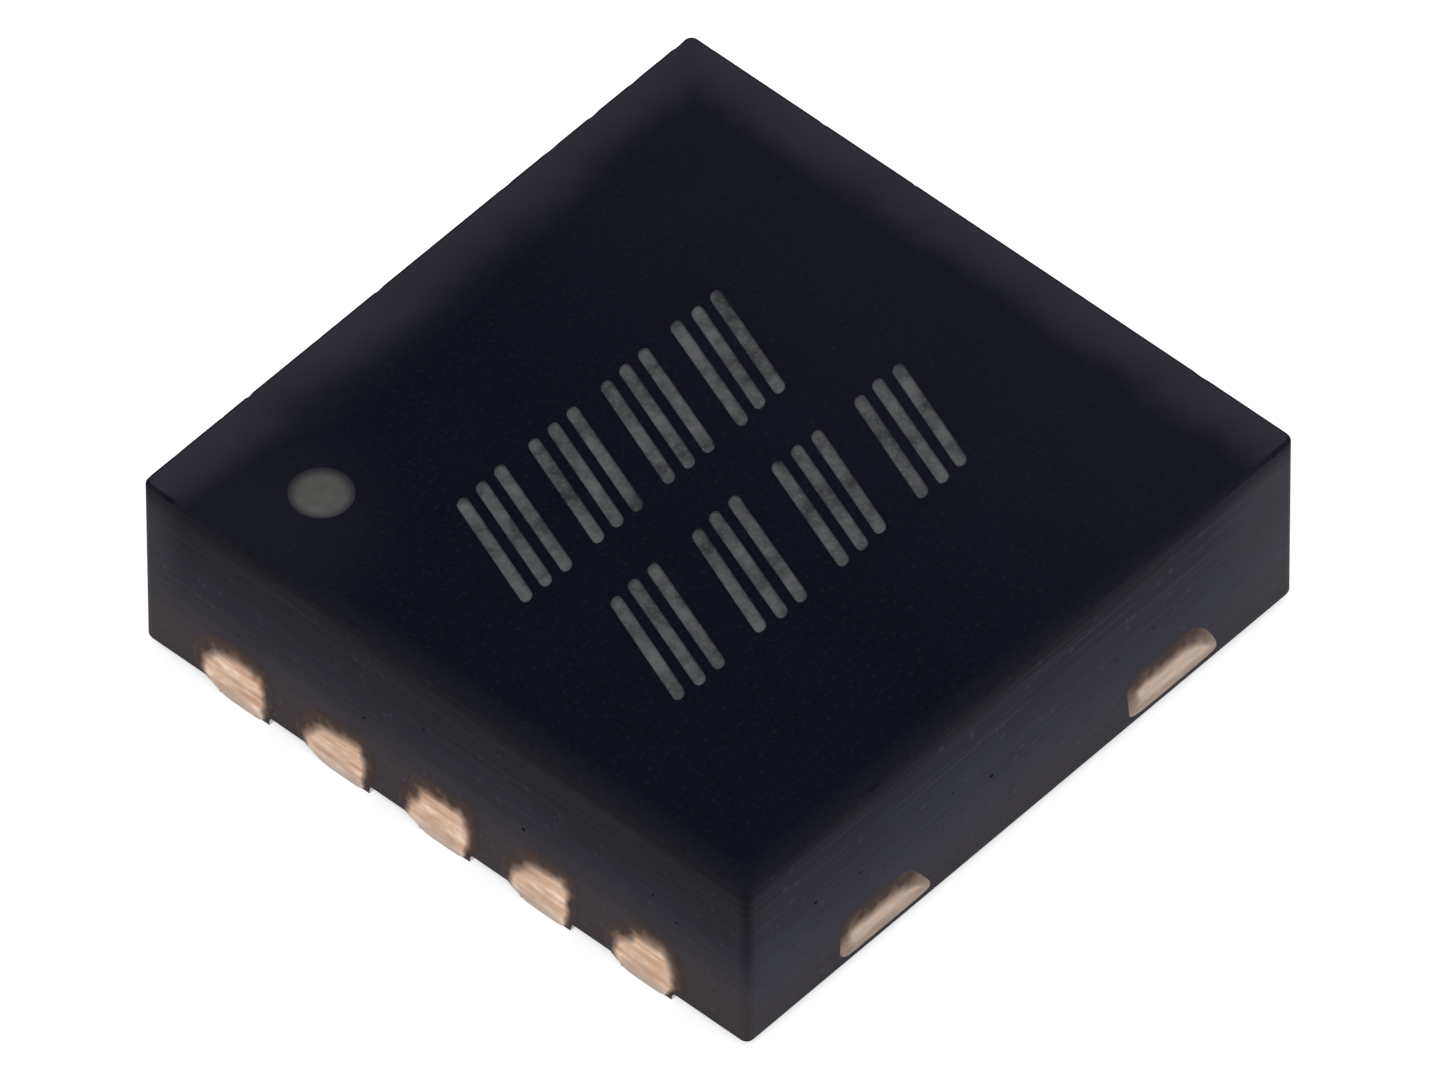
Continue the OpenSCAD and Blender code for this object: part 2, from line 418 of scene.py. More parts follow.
def body_finish(face, settings):
    """Which finish a face of the moulded body shows, by its place and the way that it faces."""
    centre = face.calc_center_median()
    depth = BODY_HIGH.z - centre.z
    rise = centre.z - BODY_LOW.z
    insets = [BODY_HIGH.x - abs(centre.x), BODY_HIGH.y - abs(centre.y)]
    level = abs(face.normal.z) > 0.999
    upright = abs(face.normal.z) < 0.001
    if level and min(depth, rise) < FLAT:
        return MOULDED
    if upright and (min(insets) < FLAT or max(insets) < settings["corner"]):
        return SAWN
    from_dot = (centre - dot_centre(settings)).to_2d().length
    if from_dot < settings["dot"] / 2 and depth < settings["dot_depth"] + FLAT:
        return DISHED
    worn = 2 * settings["nick"]
    if min(insets) > worn and depth < settings["scar"] + FLAT:
        return SCARRED
    return BROKEN if min(insets) < worn or depth < worn or rise < settings["edge"] else MOULDED


class CHIP_OT_body(bpy.types.Operator):
    """Model the moulded body round the copper, die and wires"""

    bl_idname = "chip.body"
    bl_label = "Moulded body"

    def execute(self, context):
        settings = sizes(context.scene.chip_body)
        rng = random.Random(SEED)
        piece = new_object("mold_shell", body_block(settings))
        cutters = [new_object(f"space_{node}", node_copy(node)) for node in BURIED]
        cutters.append(new_object("dish", dish_ball(settings)))
        cutters.append(new_object("strokes", mark_strokes(settings, rng)))
        cutters.append(new_object("nicks", nicks(settings, rng)))
        cutters.append(new_object("pits", pits(settings, rng)))
        cut(piece, cutters)
        bm = bmesh.new()
        bm.from_mesh(piece.data)
        bmesh.ops.remove_doubles(bm, verts=bm.verts, dist=MERGE)
        bm.normal_update()
        for face in bm.faces:
            face.material_index = body_finish(face, settings)
            face.smooth = face.material_index == DISHED
        kinds = (
            moulded_epoxy_compound,
            sawn_epoxy_compound,
            broken_epoxy_compound,
            laser_scarred_compound,
            ejector_dish_compound,
        )
        finish_piece(piece, bm, [finish(kind, context) for kind in kinds], "mold_body")
        return {"FINISHED"}


# Copper

SAWN_END, TINNED, ETCHED = range(3)
# Distance between the points that are set round a sawn end, in millimetres
END_STEP = 0.02
# Passes that ease the unevenness round a burr
RAGGED_ROUNDING = 3
# Height over which a burr grows to its full width, in millimetres, so that a land's foot stays square
BURR_FOOT = 0.045
# How far a ring draws in sideways for each millimetre that it lies in, and how much more above the foot
FOOT_NARROWING = 0.2
NARROWING = 0.45
# How a terminal's sawn end is smeared, mostly in shares of the settings. In a pair, the second number
# is how much the first changes along the cut or, for slant and lift, from the end's middle to its
# leading side. Rounding is the passes that round its outline, and the foot has the last two shares of
# a ring's inset and of its darker red-brown rim.
THICK_END = {
    "rounding": 8,
    "ahead": (0.4, 0.75),
    "behind": (1.05, -1),
    "leaning": (1, -1.8),
    "slant": (0.5, 0.5),
    "lift": (0.25, -0.2),
    "ragged": 1,
    "below": 0,
    "foot_inset": 0,
    "foot_rim": 1,
}
# A tie bar's end is thin: it is dragged less, alike all along the cut, and has a burr below it too
THIN_END = {
    "rounding": 14,
    "ahead": (0.65, 0),
    "behind": (0.5, 0),
    "leaning": (0.7, 0),
    "slant": (0.8, 0.2),
    "lift": (0, 0),
    "ragged": 0.6,
    "below": 1,
    "foot_inset": 0.6,
    "foot_rim": 0.35,
}


def copper_piece(name, node, axis, tarnish, context):
    """Builds one copper piece, with its sawn ends across the given axis, in the place of its CAD node."""
    settings = sizes(context.scene.chip_copper)
    rng = random.Random(f"{SEED}{name}")
    bm = node_copy(node)
    # The faces are parted at the height to which they are tinned
    bmesh.ops.bisect_plane(
        bm,
        geom=bm.verts[:] + bm.edges[:] + bm.faces[:],
        plane_co=(0, 0, settings["plated"]),
        plane_no=(0, 0, 1),
        dist=MERGE,
    )
    layers = {
        "outline": bm.verts.layers.float_vector.new("outline"),
        "ragged": bm.verts.layers.float.new("ragged"),
        "rim": bm.verts.layers.float.new("rim"),
        "tarnish": bm.verts.layers.float.new("tarnish"),
    }
    bm.normal_update()
    side = BODY_HIGH[axis] - FLAT
    sawn = [f for f in bm.faces if abs(f.calc_center_median()[axis]) > side and abs(f.normal[axis]) > 0.9]
    ends = bmesh.ops.dissolve_faces(bm, faces=sawn, use_verts=False)["region"]
    for face in bm.faces:
        face.material_index = ETCHED if face.calc_center_median().z > settings["plated"] else TINNED
    for face in ends:
        smear_end(bm, face, axis, layers, settings, rng)
    for v in bm.verts:
        v[layers["tarnish"]] = tarnish
    bm.verts.layers.float_vector.remove(layers["outline"])
    bm.verts.layers.float.remove(bm.verts.layers.float["ragged"])
    piece = new_object(name, bmesh.new())
    kinds = (sawn_copper_alloy, matt_tin_plating, etched_copper_alloy)
    finish_piece(piece, bm, [finish(kind, context) for kind in kinds], node)


def eased(ring, passes):
    """Values round a closed ring, each drawn towards its two neighbours a number of times."""
    for _ in range(passes):
        after = ring[1:] + ring[:1]
        before = ring[-1:] + ring[:-1]
        ring = [(a + 2 * b + c) / 4 for a, b, c in zip(before, ring, after)]
    return ring


def changed(pair, way):
    """First number of a pair, plus its second times the given way along."""
    return pair[0] + pair[1] * way


def note_outline(bm, face, rounding, layers, rng):
    """Sets points close together round a sawn end and notes on each its place on the rounded outline
    and how far out of line the burr runs there, from -1 to 1."""
    for edge in face.edges[:]:
        cuts = int(edge.calc_length() / END_STEP)
        if cuts:
            bmesh.ops.subdivide_edges(bm, edges=[edge], cuts=cuts)
    points = [loop.vert for loop in face.loops]
    places = eased([v.co.copy() for v in points], rounding)
    uneven = eased([rng.uniform(-1, 1) for _ in points], RAGGED_ROUNDING)
    for v, place, out in zip(points, places, uneven):
        v[layers["outline"]] = place
        v[layers["ragged"]] = out
        v[layers["rim"]] = 1


def smear_end(bm, face, axis, layers, settings, rng):
    """Draws a sawn end out over the compound in rings: a burr, its darker red-brown rim and a low crown.

    The saw runs towards the higher X or Y, so the burr is widest there, and most so at its foot.
    """
    across = 1 - axis
    outward = math.copysign(1, face.calc_center_median()[axis])
    is_thin = min(v.co.z for v in face.verts) > settings["plated"]
    kind = THIN_END if is_thin else THICK_END
    note_outline(bm, face, kind["rounding"], layers, rng)
    places = [v[layers["outline"]] for v in face.verts]
    low = Vector([min(place[k] for place in places) for k in range(3)])
    high = Vector([max(place[k] for place in places) for k in range(3)])
    # The end's place along the cut, from 0 to 1. Its lean changes mostly near the far end
    along = (low[across] - BODY_LOW[across]) / (BODY_HIGH[across] - BODY_LOW[across])
    ahead = settings["burr_ahead"] * changed(kind["ahead"], along)
    behind = settings["burr_behind"] * changed(kind["behind"], along)
    leaning = changed(kind["leaning"], along**4)
    above = settings["burr_above"] * rng.uniform(0.9, 1.1)
    below = settings["burr_below"] * kind["below"]
    ragged = settings["ragged"] * kind["ragged"]
    rim, crown = settings["rim"], settings["crown"]
    # Each ring: how far it lies in from the burr's edge, share of the rise, and nearness to the rim
    rings = [
        (0, 0, 1),
        (0.002, 0.2, 1),
        (0.35 * rim, 0.45, 0.97),
        (0.7 * rim, 0.6, 0.86),
        (rim, 0.75, 0.55),
        (rim + 0.5 * crown, 0.9, 0.15),
        (rim + crown, 1, 0),
    ]
    for number, (inset, rise, nearness) in enumerate(rings):
        face = bmesh.ops.extrude_discrete_faces(bm, faces=[face])["faces"][0]
        for v in face.verts:
            place = v[layers["outline"]].copy()
            # Place across the end, from -1 at its trailing side to 1 at its leading one. Place up it
            # and how far the burr has grown there run from 0 to 1.
            forward = 2 * (place[across] - low[across]) / (high[across] - low[across]) - 1
            up = (place.z - low.z) / (high.z - low.z)
            grown = min(1, place.z / BURR_FOOT)
            edge = ahead if forward > 0 else behind
            uneven = v[layers["ragged"]] * ragged if rise < 1 else 0
            slant = settings["slant"] * leaning * changed(kind["slant"], forward)
            lift = above * (1 + leaning * changed(kind["lift"], forward))
            burr = (edge - NARROWING * inset + uneven) * grown
            place[across] += forward * (burr - FOOT_NARROWING * inset)
            place[across] += slant * (0.5 - up) * grown
            place.z += up * (lift - inset + uneven) - (1 - up) * (below - kind["foot_inset"] * inset)
            place[axis] = outward * (BODY_HIGH[axis] + rise * settings["rise"])
            v.co = place
            v[layers["rim"]] = nearness * (kind["foot_rim"] + (1 - kind["foot_rim"]) * up)
        for ring in {f for v in face.verts for f in v.link_faces}:
            ring.material_index = SAWN_END
            ring.smooth = number > 0
    bmesh.ops.triangulate(bm, faces=[face])


class CHIP_OT_terminals(bpy.types.Operator):
    """Model the ten terminals with their sawn ends"""

    bl_idname = "chip.terminals"
    bl_label = "Terminals"

    def execute(self, context):
        for number, node in enumerate(TERMINALS, start=1):
            copper_piece(f"terminal_{number}", node, axis=0, tarnish=0, context=context)
        return {"FINISHED"}


class CHIP_OT_pad(bpy.types.Operator):
    """Model the exposed pad with the sawn ends of its tie bars"""

    bl_idname = "chip.pad"
    bl_label = "Exposed pad"

    def execute(self, context):
        copper_piece("pad_plate", "exposed_pad", axis=1, tarnish=1, context=context)
        return {"FINISHED"}


# Materials

# Sockets of a colour Mix node, by number because their names repeat
SHARE, FIRST, SECOND = 0, 6, 7
MIXED = 2
# Refractive index of the compound's resin
EPOXY_IOR = 1.55


def feed(tree, node, inputs):
    """Sets or links a node's inputs."""
    for key, value in inputs.items():
        if isinstance(value, bpy.types.NodeSocket):
            tree.links.new(value, node.inputs[key])
        else:
            node.inputs[key].default_value = value


def add(tree, kind, inputs=None, **settings):
    """Adds a node with its settings, sets or links its inputs, and gives its outputs."""
    node = tree.nodes.new(kind)
    for name, value in settings.items():
        setattr(node, name, value)
    feed(tree, node, inputs or {})
    return node.outputs


def per(size):
    """Scale at which a pattern's cell is the given number of millimetres across."""
    return 1 / (size * MM)


def finish(kind, context):
    """The material that a function below describes, made once and named as the function is."""
    name = kind.__name__
    if name not in bpy.data.materials:
        made = bpy.data.materials.new(name)
        made.use_nodes = True
        tree = made.node_tree
        place = add(tree, "ShaderNodeTexCoord")["Object"]
        look = kind(tree, place, context.scene.chip_finish)
        feed(tree, tree.nodes["Principled BSDF"], look)
    return bpy.data.materials[name]


def moulded_epoxy_compound(tree, place, colours):
    """Epoxy moulding compound as a film-lined mould leaves it: near black, matt, with a fine even grain, and
    with a faint painted light gradient.
    """
    # Grain of the mould film, 0.02 mm, and wear, 0.4 mm
    grain = add(tree, "ShaderNodeTexNoise", {"Vector": place, "Scale": per(0.02), "Detail": 2})["Fac"]
    wear = add(tree, "ShaderNodeTexNoise", {"Vector": place, "Scale": per(0.4), "Detail": 3})["Fac"]
    # The face is rubbed lighter along its +X and +Y edges, over 0.4 mm that wander by 0.14 mm
    axes = add(tree, "ShaderNodeSeparateXYZ", {"Vector": place})
    most = add(tree, "ShaderNodeMath", {0: axes["X"], 1: axes["Y"]}, operation="MAXIMUM")[0]
    wandering = add(
        tree, "ShaderNodeMath", {0: wear, 1: 0.14 * MM, 2: most}, operation="MULTIPLY_ADD"
    )[0]
    margin = add(
        tree,
        "ShaderNodeMapRange",
        {"Value": wandering, "From Min": 1.1 * MM, "From Max": 1.57 * MM},
        interpolation_type="SMOOTHSTEP",
    )[0]
    worn = add(tree, "ShaderNodeMath", {0: margin, 1: 2.2}, operation="POWER")[0]
    # Painted light: the face is also faintly lighter from the +X edge to past the middle
    faint = add(
        tree,
        "ShaderNodeMapRange",
        {"Value": axes["X"], "From Min": -0.4 * MM, "From Max": 1.6 * MM, "To Max": 0.18},
        interpolation_type="SMOOTHSTEP",
    )[0]
    # Along the -X and -Y edges it is only touched
    least = add(tree, "ShaderNodeMath", {0: axes["X"], 1: axes["Y"]}, operation="MINIMUM")[0]
    touched = add(
        tree,
        "ShaderNodeMapRange",
        {"Value": least, "From Min": -1.38 * MM, "From Max": -1.5 * MM, "To Max": 0.25},
        interpolation_type="SMOOTHSTEP",
    )[0]
    # And so it is at the corner beside the terminal one dish
    from_corner = add(
        tree,
        "ShaderNodeVectorMath",
        {0: place, 1: Vector((-1.4, 1.1, BODY_HIGH.z)) * MM},
        operation="DISTANCE",
    )["Value"]
    handled = add(
        tree,
        "ShaderNodeMapRange",
        {"Value": from_corner, "From Min": 0.7 * MM, "From Max": 0.1 * MM, "To Max": 0.25},
        interpolation_type="SMOOTHSTEP",
    )[0]
    # One share for the lighter edges and for the painted light gradient
    rubbed = worn
    for other in (faint, touched, handled):
        rubbed = add(tree, "ShaderNodeMath", {0: rubbed, 1: other}, operation="MAXIMUM")[0]
    speck = add(tree, "ShaderNodeMapRange", {"Value": grain, "From Min": 0.55, "From Max": 1.1})[0]
    # Layers of tone, each over the one before
    tone = colours.moulded
    for share, laid, blend in (
        (rubbed, colours.margin, "MIX"),
        (0.3, wear, "MULTIPLY"),
        (speck, linear("#22242d"), "MIX"),
    ):
        tone = add(
            tree,
            "ShaderNodeMix",
            {SHARE: share, FIRST: tone, SECOND: laid},
            data_type="RGBA",
            blend_type=blend,
        )[MIXED]
    relief = add(tree, "ShaderNodeBump", {"Height": grain, "Distance": 0.0012 * MM, "Strength": 0.6})
    return {
        "Base Color": tone,
        "Normal": relief["Normal"],
        "Roughness": 0.62,
        "IOR": EPOXY_IOR,
        "Specular IOR Level": 0.025,
    }


def sawn_epoxy_compound(tree, place, colours):
    """Epoxy moulding compound cut by a diamond saw: lighter grey, with level scratches and cut silica,
    painted light low down and at two corners, and painted shade high up.
    """
    # Scratches 0.5 mm long and 0.014 mm wide, and broader passes of the blade, 0.05 mm
    stretched = add(tree, "ShaderNodeMapping", {"Vector": place, "Scale": (1 / 40, 1 / 40, 1)})["Vector"]
    scratch = add(tree, "ShaderNodeTexNoise", {"Vector": stretched, "Scale": per(0.014), "Detail": 2})["Fac"]
    passes = add(tree, "ShaderNodeTexNoise", {"Vector": stretched, "Scale": per(0.05), "Detail": 1})["Fac"]
    cloud = add(tree, "ShaderNodeTexNoise", {"Vector": place, "Scale": per(0.35), "Detail": 3})["Fac"]
    # Silica grains up to 0.03 mm across, each of its own size, and only some of them bright
    cells = add(tree, "ShaderNodeTexVoronoi", {"Vector": place, "Scale": per(0.034)})
    kinds = add(tree, "ShaderNodeSeparateColor", {"Color": cells["Color"]})
    beyond = add(
        tree,
        "ShaderNodeMath",
        {0: kinds["Green"], 1: -0.4, 2: cells["Distance"]},
        operation="MULTIPLY_ADD",
    )[0]
    disc = add(tree, "ShaderNodeMapRange", {"Value": beyond, "From Min": 0.08, "From Max": -0.02})[0]
    bright = add(
        tree,
        "ShaderNodeMapRange",
        {"Value": kinds["Red"], "From Min": 0.75, "From Max": 1, "To Max": 0.16},
    )[0]
    grain = add(tree, "ShaderNodeMath", {0: disc, 1: bright}, operation="MULTIPLY")[0]
    axes = add(tree, "ShaderNodeSeparateXYZ", {"Vector": place})
    # Painted light: the sides are lighter towards the underside
    painted_low_light = add(
        tree, "ShaderNodeMapRange", {"Value": axes["Z"], "From Min": 0.76 * MM, "From Max": 0.2 * MM}
    )[0]
    # Painted light at the upright corner between +X and -Y, and a weaker painted highlight at the one
    # between -X and +Y
    right = add(
        tree,
        "ShaderNodeMapRange",
        {"Value": axes["X"], "From Min": 0.95 * MM, "From Max": 1.45 * MM, "To Max": 0.6},
        interpolation_type="SMOOTHSTEP",
    )[0]
    front = add(
        tree,
        "ShaderNodeMapRange",
        {"Value": axes["Y"], "From Min": -1 * MM, "From Max": -1.45 * MM},
        interpolation_type="SMOOTHSTEP",
    )[0]
    back = add(
        tree, "ShaderNodeMapRange", {"Value": axes["Y"], "From Min": 1.3 * MM, "From Max": 1.45 * MM}
    )[0]
    left = add(
        tree,
        "ShaderNodeMapRange",
        {"Value": axes["X"], "From Min": -1.4 * MM, "From Max": -1.49 * MM, "To Max": 0.5},
    )[0]
    right_front = add(tree, "ShaderNodeMath", {0: right, 1: front}, operation="MULTIPLY")[0]
    left_back = add(tree, "ShaderNodeMath", {0: left, 1: back}, operation="MULTIPLY")[0]
    painted_corner_light = add(tree, "ShaderNodeMath", {0: right_front, 1: left_back}, operation="MAXIMUM")[0]
    # Copper dust is dragged over the band between the copper ends, and is denser and reaches higher
    # on the two sides with terminals
    out = add(tree, "ShaderNodeMath", {0: axes["X"]}, operation="ABSOLUTE")[0]
    beside = add(
        tree, "ShaderNodeMapRange", {"Value": out, "From Min": 1.45 * MM, "From Max": 1.49 * MM}
    )[0]
    dense = add(tree, "ShaderNodeMath", {0: beside, 1: 0.3, 2: 0.3}, operation="MULTIPLY_ADD")[0]
    reach = add(
        tree, "ShaderNodeMath", {0: beside, 1: 0.2 * MM, 2: 0.33 * MM}, operation="MULTIPLY_ADD"
    )[0]
    coppery = add(
        tree,
        "ShaderNodeMapRange",
        {"Value": axes["Z"], "From Min": reach, "From Max": 0.12 * MM, "To Max": dense},
        interpolation_type="SMOOTHSTEP",
    )[0]
    light = add(tree, "ShaderNodeMapRange", {"Value": scratch, "From Min": 0.5, "From Max": 0.95})[0]
    # Painted shade: the upper part of the -X side is darker, except near its corner with +Y, and all sides
    # are darker still and rougher at the top edge
    outside_lit_corner = add(tree, "ShaderNodeMath", {0: 1, 1: back}, operation="SUBTRACT")[0]
    high = add(
        tree,
        "ShaderNodeMapRange",
        {"Value": axes["Z"], "From Min": 0.28 * MM, "From Max": 0.8 * MM, "To Max": outside_lit_corner},
    )[0]
    painted_left_shade = add(
        tree,
        "ShaderNodeMapRange",
        {"Value": axes["X"], "From Min": -1.4 * MM, "From Max": -1.49 * MM, "To Max": high},
    )[0]
    topmost = add(
        tree,
        "ShaderNodeMapRange",
        {"Value": axes["Z"], "From Min": 0.75 * MM, "From Max": 0.87 * MM, "To Max": 0.9},
        interpolation_type="SMOOTHSTEP",
    )[0]
    painted_top_shade = add(tree, "ShaderNodeMath", {0: painted_left_shade, 1: topmost}, operation="MAXIMUM")[0]
    # Layers of tone, each over the one before
    tone = colours.sawn
    for share, laid, blend in (
        (painted_low_light, colours.sawn_low, "MIX"),
        (painted_corner_light, linear("#4c4d55"), "MIX"),
        (coppery, linear("#54453f"), "MIX"),
        (0.5, cloud, "MULTIPLY"),
        (0.45, passes, "MULTIPLY"),
        (light, linear("#32333f"), "MIX"),
        (grain, colours.filler, "MIX"),
        (painted_top_shade, linear("#a0a0ae"), "MULTIPLY"),
    ):
        tone = add(
            tree,
            "ShaderNodeMix",
            {SHARE: share, FIRST: tone, SECOND: laid},
            data_type="RGBA",
            blend_type=blend,
        )[MIXED]
    rough = add(tree, "ShaderNodeMapRange", {"Value": topmost, "To Min": 0.58, "To Max": 0.78})[0]
    lines = add(tree, "ShaderNodeMath", {0: scratch, 1: passes}, operation="ADD")[0]
    relief = add(tree, "ShaderNodeBump", {"Height": lines, "Distance": 0.0016 * MM, "Strength": 0.6})
    raised = add(
        tree,
        "ShaderNodeBump",
        {"Height": grain, "Distance": 0.001 * MM, "Strength": 0.5, "Normal": relief["Normal"]},
    )
    return {
        "Base Color": tone,
        "Normal": raised["Normal"],
        "Roughness": rough,
        "IOR": EPOXY_IOR,
        "Specular IOR Level": 0.06,
    }


def broken_epoxy_compound(tree, place, colours):
    """Broken epoxy compound at an edge or nick: rough and dull, so that an edge shows no glint."""
    # Grains stand out of the break, 0.03 mm across
    lumps = add(tree, "ShaderNodeTexNoise", {"Vector": place, "Scale": per(0.03), "Detail": 4})["Fac"]
    share = add(tree, "ShaderNodeMapRange", {"Value": lumps, "From Min": 0.35, "From Max": 0.7})[0]
    tone = add(
        tree,
        "ShaderNodeMix",
        {SHARE: share, FIRST: linear("#14151d"), SECOND: colours.broken},
        data_type="RGBA",
    )[MIXED]
    relief = add(tree, "ShaderNodeBump", {"Height": lumps, "Distance": 0.004 * MM, "Strength": 0.8})
    return {
        "Base Color": tone,
        "Normal": relief["Normal"],
        "Roughness": 0.85,
        "IOR": EPOXY_IOR,
        "Specular IOR Level": 0.05,
    }


def laser_scarred_compound(tree, place, colours):
    """Compound that a laser has foamed: chalky grey, uneven, pitted by each pulse."""
    # Pulses 0.02 mm apart, their overlap 0.05 mm, and slow fading along a stroke, 0.18 mm
    pulses = add(tree, "ShaderNodeTexVoronoi", {"Vector": place, "Scale": per(0.02)})["Distance"]
    lumps = add(tree, "ShaderNodeTexNoise", {"Vector": place, "Scale": per(0.05), "Detail": 4})["Fac"]
    fading = add(tree, "ShaderNodeTexNoise", {"Vector": place, "Scale": per(0.18), "Detail": 2})["Fac"]
    both = add(tree, "ShaderNodeMath", {0: lumps, 1: fading}, operation="ADD")[0]
    share = add(tree, "ShaderNodeMapRange", {"Value": both, "From Min": 0.7, "From Max": 1.25})[0]
    tone = add(
        tree,
        "ShaderNodeMix",
        {SHARE: share, FIRST: linear("#2f3134"), SECOND: colours.scarred},
        data_type="RGBA",
    )[MIXED]
    chalk = add(
        tree,
        "ShaderNodeMapRange",
        {"Value": pulses, "From Min": 0.5, "From Max": 0.1, "To Max": 0.3},
    )[0]
    chalky = add(
        tree,
        "ShaderNodeMix",
        {SHARE: chalk, FIRST: tone, SECOND: linear("#6c6d6e")},
        data_type="RGBA",
    )[MIXED]
    height = add(tree, "ShaderNodeMath", {0: lumps, 1: pulses}, operation="SUBTRACT")[0]
    relief = add(tree, "ShaderNodeBump", {"Height": height, "Distance": 0.003 * MM, "Strength": 0.7})
    return {
        "Base Color": chalky,
        "Normal": relief["Normal"],
        "Roughness": 0.85,
        "IOR": EPOXY_IOR,
        "Specular IOR Level": 0.15,
    }


def ejector_dish_compound(tree, place, colours):
    """Dish left by a polished ejector pin: smoother and greyer than the face round it."""
    # Mottling where the pin rubbed, 0.05 mm
    lumps = add(tree, "ShaderNodeTexNoise", {"Vector": place, "Scale": per(0.05), "Detail": 3})["Fac"]
    share = add(tree, "ShaderNodeMapRange", {"Value": lumps, "From Min": 0.3, "From Max": 0.75})[0]
    tone = add(
        tree,
        "ShaderNodeMix",
        {SHARE: share, FIRST: colours.dish, SECOND: linear("#3e3e3d")},
        data_type="RGBA",
    )[MIXED]
    # The pin rubs less at the rim, where the dish is less than 0.012 mm deep
    full = BODY_HIGH.z - 0.012
    height = add(tree, "ShaderNodeSeparateXYZ", {"Vector": place})["Z"]
    rubbed = add(
        tree,
        "ShaderNodeMapRange",
        {"Value": height, "From Min": BODY_HIGH.z * MM, "From Max": full * MM},
        interpolation_type="SMOOTHSTEP",
    )[0]
    faded = add(
        tree,
        "ShaderNodeMix",
        {SHARE: rubbed, FIRST: colours.moulded, SECOND: tone},
        data_type="RGBA",
    )[MIXED]
    relief = add(tree, "ShaderNodeBump", {"Height": lumps, "Distance": 0.002 * MM, "Strength": 0.5})
    return {
        "Base Color": faded,
        "Normal": relief["Normal"],
        "Roughness": 0.5,
        "IOR": EPOXY_IOR,
        "Specular IOR Level": 0.2,
    }


def sawn_copper_alloy(tree, place, colours):
    """Copper alloy drawn out by the saw: peach with level streaks, darker red-brown and near black at its
    rim.
    """
    # Streaks 0.2 mm long and 0.025 mm wide, and patches 0.06 mm across
    stretched = add(tree, "ShaderNodeMapping", {"Vector": place, "Scale": (1 / 8, 1 / 8, 1)})["Vector"]
    streaks = add(tree, "ShaderNodeTexNoise", {"Vector": stretched, "Scale": per(0.025), "Detail": 3})["Fac"]
    patches = add(tree, "ShaderNodeTexNoise", {"Vector": place, "Scale": per(0.06), "Detail": 3})["Fac"]
    rim = add(tree, "ShaderNodeAttribute", attribute_name="rim")["Fac"]
    tarnish = add(tree, "ShaderNodeAttribute", attribute_name="tarnish")["Fac"]
    ragged = add(tree, "ShaderNodeMath", {0: patches, 1: 0.6, 2: rim}, operation="MULTIPLY_ADD")[0]
    # Darker red-brown towards the rim, and near black at its outer edge
    burnt = add(tree, "ShaderNodeMapRange", {"Value": ragged, "From Min": 0.38, "From Max": 1.22})[0]
    near_black = add(
        tree,
        "ShaderNodeMapRange",
        {"Value": ragged, "From Min": 1.15, "From Max": 1.45, "To Max": 0.7},
        interpolation_type="SMOOTHSTEP",
    )[0]
    fresh = add(tree, "ShaderNodeMapRange", {"Value": patches, "From Min": 0.4, "From Max": 0.7})[0]
    dull = add(tree, "ShaderNodeMapRange", {"Value": streaks, "From Min": 0.62, "From Max": 0.3})[0]
    # Tin is drawn over the lowest 0.05 mm, and the tie bars' thin ends are tarnished greyer
    height = add(tree, "ShaderNodeSeparateXYZ", {"Vector": place})["Z"]
    tinned = add(
        tree,
        "ShaderNodeMapRange",
        {"Value": height, "From Min": 0.06 * MM, "From Max": 0.01 * MM, "To Max": 0.75},
    )[0]
    greyed = add(tree, "ShaderNodeMath", {0: tarnish, 1: 0.6}, operation="MULTIPLY")[0]
    # Layers of tone, each over the one before
    tone = colours.copper
    for share, laid in (
        (fresh, colours.bright),
        (dull, linear("#bd957a")),
        (tinned, linear("#b5aca2")),
        (greyed, linear("#a1948a")),
        (burnt, colours.burnt),
        (near_black, linear("#1c1a1f")),
    ):
        tone = add(
            tree,
            "ShaderNodeMix",
            {SHARE: share, FIRST: tone, SECOND: laid},
            data_type="RGBA",
        )[MIXED]
    metal = add(tree, "ShaderNodeMapRange", {"Value": burnt, "To Min": 0.85, "To Max": 0.3})[0]
    rough = add(tree, "ShaderNodeMapRange", {"Value": burnt, "To Min": 0.46, "To Max": 0.75})[0]
    relief = add(tree, "ShaderNodeBump", {"Height": streaks, "Distance": 0.003 * MM, "Strength": 0.8})
    return {"Base Color": tone, "Normal": relief["Normal"], "Metallic": metal, "Roughness": rough}


def matt_tin_plating(tree, place, colours):
    """Matt tin plating: pale grey, with grains of a few micrometres and faint stains."""
    # Tin grains are drawn 0.012 mm across, about three times as coarse as real ones, so that they show
    grains = add(tree, "ShaderNodeTexVoronoi", {"Vector": place, "Scale": per(0.012)})["Distance"]
    stains = add(tree, "ShaderNodeTexNoise", {"Vector": place, "Scale": per(0.25), "Detail": 4})["Fac"]
    share = add(tree, "ShaderNodeMapRange", {"Value": stains, "From Min": 0.4, "From Max": 0.75})[0]
    tone = add(
        tree,
        "ShaderNodeMix",
        {SHARE: share, FIRST: colours.tin, SECOND: linear("#a9a69f")},
        data_type="RGBA",
    )[MIXED]
    relief = add(tree, "ShaderNodeBump", {"Height": grains, "Distance": 0.0015 * MM, "Strength": 0.5})
    return {"Base Color": tone, "Normal": relief["Normal"], "Metallic": 1, "Roughness": 0.42}


